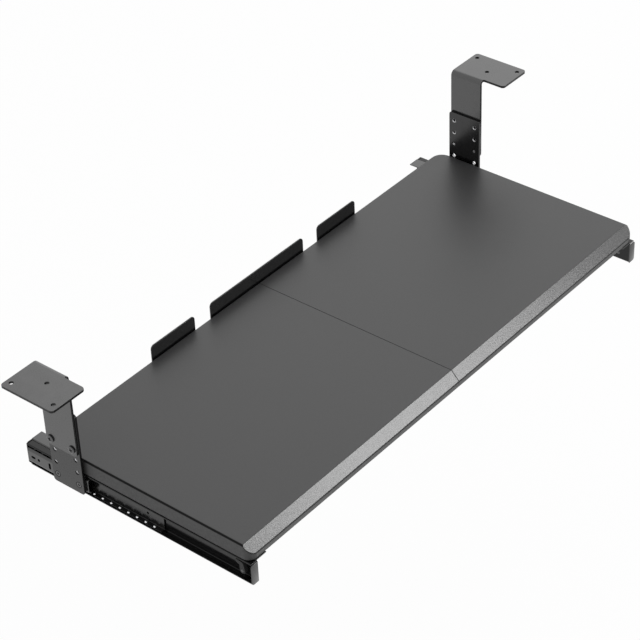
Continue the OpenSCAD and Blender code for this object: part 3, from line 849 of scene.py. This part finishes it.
class MakeDropPlates(bpy.types.Operator):
    """Drop plates with their levels of holes"""

    bl_idname = "keyboard_tray.make_drop_plates"
    bl_label = "Drop plates"

    def execute(self, context):
        s = context.scene.tray_brackets
        for side in SIDES:
            node = side + "_drop_plate"
            # The drop plates take the duller plate coat and, on edges and hole walls, the duller
            # edge coat: both are painted shade
            rounded_copy(
                node,
                [powder_coat("plate_coat_painted_shade", s.plate_gloss), powder_coat("edge_coat_painted_shade", s.edge_gloss)],
                s.edge, choose=lambda normal, centre: int(abs(normal.x) < 0.95),
            )
            low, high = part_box(node)
            inner, outer = sorted((low[0], high[0]), key=abs)
            start, end = sorted((inner, inner + (outer - inner) * s.threaded))
            row = [(a + b) / 2 for a, b in loose_parts(side + "_plate_screws")]
            used = [(a[2] + b[2]) / 2 for a, b in loose_parts(side + "_height_screws")]
            grids = []
            for spot in row:
                for level in range(1, s.levels):
                    z = spot[2] + level * s.pitch
                    if min(abs(z - u) for u in used) > s.pitch / 2:
                        grids.append(thread_lining(start + s.edge, end - s.edge, spot[1], z))
            piece = surface_object(side + "_tapped_threads", grids, cut_steel())
            ride_with(piece, side + "_height_screws")
        return {"FINISHED"}


class MakeRails(bpy.types.Operator):
    """Fixed and moving rails of the slides"""

    bl_idname = "keyboard_tray.make_rails"
    bl_label = "Rails"

    def execute(self, context):
        s = context.scene.tray_slides
        for side in SIDES:
            node = side + "_moving_rail"
            low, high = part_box(node)
            # Faces below the flange take the duller finish, which is painted shade in and round the
            # channel
            rounded_copy(
                node, [slide_black(), slide_black("channel_painted_shade", s.channel_gloss)], s.edge,
                choose=lambda normal, centre: int(centre.z < high[2] - s.flange_sheet * 0.9),
                shape=lambda work: self.plain_ends(work, node),
            )
            for end, start, width, drop in (
                ("front", low[1], s.end_width + s.steel_sheet, s.front_drop),
                ("rear", high[1] - s.steel_sheet, s.end_width, s.end_drop),
            ):
                self.end_plate(side + "_rail_" + end, node, start, width, drop)
            node = side + "_fixed_rail"
            rounded_copy(
                node, [slide_black()], s.edge, shape=lambda work: self.full_bends(work, node),
            )
        return {"FINISHED"}

    def plain_ends(self, work, node):
        """The moving rail with its front end taken off, to make room for the end plate, and with
        the edges of its lips trimmed back."""
        s = bpy.context.scene.tray_slides
        low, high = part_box(node)
        inner, outer = sorted((abs(low[0]), abs(high[0])))
        sign, out, near = math.copysign(1.0, low[0]), 0.001, 0.00005
        end = slab(sign, inner - out, outer + out, low[1] - out, low[1] + s.steel_sheet)
        work = less_prism(work, end, low[2] - out, high[2] + out)
        lip = outer - s.steel_sheet
        strip = slab(sign, lip - s.steel_sheet - near, lip + out, low[1] - out, high[1] + out)
        top = high[2] - s.flange_sheet
        for edge in (low[2] + s.lip, top - s.lip - s.lip_trim):
            work = less_prism(work, strip, edge, edge + s.lip_trim)
        return work

    def end_plate(self, name, node, start, width, drop):
        """A plate across the channel with round outer corners, which rides with the rail."""
        s = bpy.context.scene.tray_slides
        low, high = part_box(node)
        sign, r = math.copysign(1.0, low[0]), s.end_corner
        web = max(abs(low[0]), abs(high[0])) - s.end_width - s.steel_sheet
        edge, top, bottom = web + width, high[2] - drop, low[2]
        outline = [(web, bottom)] + arc(edge - r, bottom + r, r, 270, 360)
        outline += arc(edge - r, top - r, r, 0, 90) + [(web, top)]
        outline = [(sign * x, z) for x, z in outline]
        work = prism(outline, start, start + s.steel_sheet, (0, 2, 1))
        mesh = mesh_of(name, round_edges(work, s.edge * 1.5, 2))
        work.free()
        ride_with(finished_object(name, mesh, [slide_black()], 50.0), node)

    def full_bends(self, work, node):
        """The fixed rail with wider bends at its web. A corner at distance d from a bend's middle
        goes to distance d + shoulder from the new middle, which lies a shoulder further in."""
        s = bpy.context.scene.tray_slides
        low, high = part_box(node)
        web = max(abs(low[0]), abs(high[0]))
        middle, half = (low[2] + high[2]) / 2, (high[2] - low[2]) / 2
        near = 0.00002
        for v in work.verts:
            side, up = math.copysign(1.0, v.co.x), math.copysign(1.0, v.co.z - middle)
            x, z = abs(v.co.x) - (web - s.bend), abs(v.co.z - middle) - (half - s.bend)
            if x > -near and z > -near:
                grow = 1.0 + s.shoulder / max(math.hypot(x, z), near)
                v.co.x = side * (web - s.bend - s.shoulder + x * grow)
                v.co.z = middle + up * (half - s.bend - s.shoulder + z * grow)
        return work


class MakeCages(bpy.types.Operator):
    """Strips that keep the balls apart"""

    bl_idname = "keyboard_tray.make_cages"
    bl_label = "Ball cages"

    def execute(self, context):
        for side in SIDES:
            rounded_copy(side + "_ball_cage", [cage_black()], context.scene.tray_slides.edge / 2)
        return {"FINISHED"}


class MakeBalls(bpy.types.Operator):
    """Polished balls in two rows on each side"""

    bl_idname = "keyboard_tray.make_balls"
    bl_label = "Balls"

    def execute(self, context):
        for side in SIDES:
            node = side + "_balls"
            grids = []
            for low, high in loose_parts(node):
                r = (high[1] - low[1]) / 2
                a = np.linspace(-math.pi / 2, math.pi / 2, 13)
                ball = turned_surface(np.stack([r * np.cos(a).clip(0), r * np.sin(a)], axis=-1), 24)
                grids.append(ball + (low + high) / 2)
            made_surface(node, grids, polished_ball(), 60.0)
        return {"FINISHED"}


class MakeHeightScrews(bpy.types.Operator):
    """Pan-head screws that set the tray's height"""

    bl_idname = "keyboard_tray.make_height_screws"
    bl_label = "Height screws"

    def execute(self, context):
        s = context.scene.tray_fasteners

        def pan_head(head_r, shank):
            """Its head is 1.8 times as wide as its shank."""
            return screw_surface(head_r / 1.8, shank, head_r, s.pan, 0.0002)

        for side, sign in SIDES.items():
            mesh = laid_screws(side + "_height_screws", sign, s.pan_seat, 0.3, 0.9, pan_head)
            mesh.materials.append(cut_steel())
            # Faces below the head's top, in the recess and round the rim, take the duller oxide:
            # painted shade
            mesh.materials.append(black_oxide("recess_painted_shade", s.recess_gloss))
            across = np.abs(corners_of(mesh)[:, 0])
            tip = across.min() + s.bare_tip
            ends = [across[list(face.vertices)].max() < tip for face in mesh.polygons]
            finishes = np.where(ends, 1, np.where(below_top(mesh, 0.3 * s.pan), 2, 0))
            mesh.polygons.foreach_set("material_index", finishes.tolist())
        return {"FINISHED"}


class MakePlateScrews(bpy.types.Operator):
    """Countersunk screws that hold the fixed rails to the drop plates"""

    bl_idname = "keyboard_tray.make_plate_screws"
    bl_label = "Plate screws"

    def execute(self, context):
        s = context.scene.tray_fasteners

        def sunk_head(head_r, shank):
            """Its hole is twice as wide as its shank."""
            return screw_surface(head_r / 2, shank, head_r * s.rim, s.sunk, 0.0001, head_r / 2)

        for side, sign in SIDES.items():
            mesh = laid_screws(side + "_plate_screws", sign, s.sunk, 0.2, 0.7, sunk_head)
            # Faces below the head's top, the countersunk ring and the recess, take the duller
            # oxide: painted shade
            mesh.materials.append(black_oxide("recess_painted_shade", s.recess_gloss))
            deep = below_top(mesh, 0.0002).astype(int)
            mesh.polygons.foreach_set("material_index", deep.tolist())
        return {"FINISHED"}


class MakeWoodScrews(bpy.types.Operator):
    """Wood screws under the board, which hold the rails, joining plates and stops"""

    bl_idname = "keyboard_tray.make_wood_screws"
    bl_label = "Wood screws"

    def execute(self, context):
        s = context.scene.tray_fasteners

        def round_head(head_r, shank):
            """Its shank is 0.486 times as wide as its head."""
            return screw_surface(head_r * 0.486, shank, head_r, s.wood, 0.0003)

        for node in ("left_rail_screws", "right_rail_screws", "joining_screws", "stop_screws"):
            laid_screws(node, -3, s.wood, 0.5, 1.1, round_head)
        return {"FINISHED"}


class MakeBumpers(bpy.types.Operator):
    """Rubber bumpers and their rivets"""

    bl_idname = "keyboard_tray.make_bumpers"
    bl_label = "Bumpers"

    def execute(self, context):
        s = context.scene.tray_fill
        for side, sign in SIDES.items():
            rounded_copy(side + "_bumper", [moulded_rubber()], s.edge, segments=3)
            node = side + "_bumper_rivet"
            low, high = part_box(node)
            r, reach = (high[1] - low[1]) / 2, high[0] - low[0]
            shank, h = 0.57 * r, s.dome
            dome = [(r * x, h * z) for x, z in arc(0, 0, 1, 0, 90, 4)[:-1]]
            profile = [(0.0, 0.0)] + [(x, h - z) for x, z in dome[::-1]] + [(shank, h)]
            profile += [(shank, reach - h)] + [(x * 0.9, reach - h + z) for x, z in dome]
            profile.append((0.0, reach))
            start = [(a + b) / 2 for a, b in zip(low, high)]
            start[0] -= sign * reach / 2
            rivet = along(turned_surface(profile, 24), start, sign)
            made_surface(node, [rivet], black_oxide(), 40.0)
        return {"FINISHED"}


class MakeBoards(bpy.types.Operator):
    """Two halves of the tray board"""

    bl_idname = "keyboard_tray.make_boards"
    bl_label = "Tray board"

    def execute(self, context):
        s = context.scene.tray_board
        low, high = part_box("left_board")
        slope = Vector((0.0, -s.bevel_drop, s.bevel_depth)).normalized()
        foot = Vector((0.0, low[1], high[2] - s.bevel_drop)) - slope * s.trim_line

        def below_slope(work):
            """The board with its upright faces parted along a line below the slope's border."""
            everything = work.verts[:] + work.edges[:] + work.faces[:]
            bmesh.ops.bisect_plane(work, geom=everything, plane_co=foot, plane_no=slope, dist=1e-6)
            return work

        def choose(normal, centre):
            """0 laminate, 1 sloped front, 2 trimmed edges, 3 upright faces."""
            if abs(normal.z) > 0.9:
                return 0
            if normal.z < 0.4:
                return 2 if (centre - foot).dot(slope) > 0 else 3
            return 1 if normal.y < -0.6 and centre.y < low[1] + 1.2 * s.bevel_depth else 2

        for side in SIDES:
            rounded_copy(
                side + "_board",
                [laminate_top(), slope_laminate_painted_light(), laminate_trim(), edge_banding()],
                s.edge, choose, 3, below_slope,
            )
        self.seam_painted_shade(low, high, s)
        return {"FINISHED"}

    def seam_painted_shade(self, low, high, s):
        """Dark strip that fills the seam between the halves, up to seam_depth below the surface:
        painted shade in the gap.
        """
        tuck, d = 0.0001, s.seam_depth
        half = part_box("right_board")[0][0] + tuck
        outline = [
            (low[1] + d, low[2] + d), (high[1] - d, low[2] + d), (high[1] - d, high[2] - d),
            (low[1] + s.bevel_depth + d, high[2] - d), (low[1] + d, high[2] - s.bevel_drop - d),
        ]
        mesh = mesh_of("seam_painted_shade", prism(outline, -half, half, (2, 0, 1)))
        ride_with(finished_object("seam_painted_shade", mesh, [laminate_trim()], 30.0), "right_board")


class MakeBands(bpy.types.Operator):
    """Ribbed bands on the front face"""

    bl_idname = "keyboard_tray.make_bands"
    bl_label = "Front bands"

    def execute(self, context):
        for side in SIDES:
            node = side + "_front_band"
            band = ribbed_band(*(np.array(corner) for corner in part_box(node)))
            made_surface(node, [band], band_plastic(), 50.0)
        return {"FINISHED"}


class MakeJoiningPlates(bpy.types.Operator):
    """Plates under the seam"""

    bl_idname = "keyboard_tray.make_joining_plates"
    bl_label = "Joining plates"

    def execute(self, context):
        for node in ("rear_joining_plate", "front_joining_plate"):
            rounded_copy(node, [powder_coat()], context.scene.tray_brackets.edge)
        return {"FINISHED"}


class MakeStops(bpy.types.Operator):
    """Stops along the back"""

    bl_idname = "keyboard_tray.make_stops"
    bl_label = "Rear stops"

    def execute(self, context):
        s = context.scene.tray_brackets
        for node in ("left_rear_stop", "middle_rear_stop", "right_rear_stop"):
            # The stops take the duller plate coat, which darkens them: painted shade
            rounded_copy(node, [powder_coat("plate_coat_painted_shade", s.plate_gloss)], s.edge)
        return {"FINISHED"}


class MakeStage(bpy.types.Operator):
    """Floor, lamps, surroundings and the photograph's camera"""

    bl_idname = "keyboard_tray.make_stage"
    bl_label = "Stage"

    def execute(self, context):
        scene = context.scene
        s = scene.tray_stage
        self.floor(s)
        self.surroundings(scene, s)
        for watts, lamp in zip((s.key, s.rear), LAMPS):
            self.lamp(watts, *lamp)
        self.camera(scene)
        return {"FINISHED"}

    def seen(self, nodes):
        """1 for a ray from the camera, from gloss or through glass, and otherwise 0."""
        rays = nodes.add("ShaderNodeLightPath").outputs
        gloss_or_glass = nodes.sum_of("MAXIMUM", rays["Is Glossy Ray"], rays["Is Transmission Ray"])
        return nodes.sum_of("MAXIMUM", rays["Is Camera Ray"], gloss_or_glass)

    def floor(self, s):
        """A pale disc, z = level and x, y = r cos t, r sin t, that is near white in the picture and
        keeps a soft shadow. From below it is clear."""
        t = np.linspace(0.0, 2 * math.pi, 48, endpoint=False)
        level = np.full_like(t, CAD_BOX[0][2] - s.floor_drop)
        rim = np.stack([s.floor_size * np.cos(t), s.floor_size * np.sin(t), level], axis=-1)
        mesh = bpy.data.meshes.new("floor")
        mesh.from_pydata(rim, [], [range(t.size)])
        material = bpy.data.materials.new("pale_floor")
        nodes = Nodes(material)
        matte = nodes.add("ShaderNodeBsdfDiffuse", Color=(0.9, 0.9, 0.9)).outputs[0]
        glow = nodes.add("ShaderNodeEmission").outputs[0]
        clear = nodes.add("ShaderNodeBsdfTransparent").outputs[0]
        below = nodes.add("ShaderNodeNewGeometry").outputs["Backfacing"]
        share = nodes.sum_of("MULTIPLY", self.seen(nodes), s.floor_white)
        pale = nodes.mixed(share, matte, glow)
        nodes.add("ShaderNodeOutputMaterial", Surface=nodes.mixed(below, pale, clear))
        mesh.materials.append(material)
        linked("floor", mesh)

    def surroundings(self, scene, s):
        """Even light from all round, which is plain white where it is seen."""
        world = bpy.data.worlds.new("surroundings")
        nodes = Nodes(world)
        white = (1.0, 1.0, 1.0)
        light = nodes.add("ShaderNodeBackground", Color=white, Strength=s.surround).outputs[0]
        plain = nodes.add("ShaderNodeBackground", Color=white).outputs[0]
        nodes.add("ShaderNodeOutputWorld", Surface=nodes.mixed(self.seen(nodes), light, plain))
        scene.world = world

    def placed(self, name, data, *columns):
        """Object of a lamp or camera, with its x, y and z directions and its place as columns."""
        item = linked(name, data)
        matrix = Matrix([(*column, 0.0) for column in columns]).transposed()
        matrix[3][3] = 1.0
        item.matrix_world = matrix
        return item

    def lamp(self, watts, name, size, direction, distance):
        """A square soft lamp that looks at the tray's middle from a direction."""
        data = bpy.data.lights.new(name, "AREA")
        data.energy = watts
        data.size = size
        way = np.array(direction) / np.linalg.norm(direction)
        middle = (np.array(CAD_BOX[0]) + np.array(CAD_BOX[1])) / 2
        x = np.cross((0, 0, 1), way)
        x /= np.linalg.norm(x)
        self.placed(name, data, x, np.cross(way, x), way, middle + way * distance)

    def camera(self, scene):
        """The photograph's camera."""
        data = bpy.data.cameras.new("photograph_camera")
        data.lens = CAMERA_LENS
        data.sensor_width = 36.0
        data.clip_end = 50.0
        scene.camera = self.placed(
            "photograph_camera", data, CAMERA_RIGHT, CAMERA_UP, CAMERA_BACK, CAMERA_PLACE,
        )


SETTINGS = (
    ("tray_brackets", BracketSettings),
    ("tray_slides", SlideSettings),
    ("tray_board", BoardSettings),
    ("tray_bands", BandSettings),
    ("tray_fasteners", FastenerSettings),
    ("tray_fill", SlideFillSettings),
    ("tray_stage", StageSettings),
)

OPERATORS = (
    MakeHangers, MakeDropPlates, MakeRails, MakeCages, MakeBalls, MakeHeightScrews,
    MakePlateScrews, MakeWoodScrews, MakeBumpers, MakeBoards, MakeBands, MakeJoiningPlates,
    MakeStops, MakeStage,
)


class TrayPanel(bpy.types.Panel):
    """Sidebar panel that lists the sizes, colours and operators"""

    bl_idname = "VIEW3D_PT_keyboard_tray"
    bl_label = "Keyboard Tray"
    bl_space_type = "VIEW_3D"
    bl_region_type = "UI"
    bl_category = "Keyboard Tray"

    def draw(self, context):
        for name, group in SETTINGS:
            box = self.layout.box()
            box.label(text=group.__doc__.rstrip("."))
            for prop in group.__annotations__:
                box.prop(getattr(context.scene, name), prop)
        for operator in OPERATORS:
            self.layout.operator(operator.bl_idname)


CLASSES = tuple(group for _, group in SETTINGS) + OPERATORS + (TrayPanel,)


def register():
    for item in CLASSES:
        bpy.utils.register_class(item)
    for name, group in SETTINGS:
        setattr(bpy.types.Scene, name, PointerProperty(type=group))


def unregister():
    for name, _ in SETTINGS:
        delattr(bpy.types.Scene, name)
    for item in reversed(CLASSES):
        bpy.utils.unregister_class(item)


def main():
    """Registers the classes and makes every piece in order."""
    register()
    bpy.context.scene.view_settings.view_transform = "Standard"
    for operator in OPERATORS:
        group, name = operator.bl_idname.split(".")
        getattr(getattr(bpy.ops, group), name)()
    bpy.context.view_layer.update()


if __name__ == "__main__":
    main()
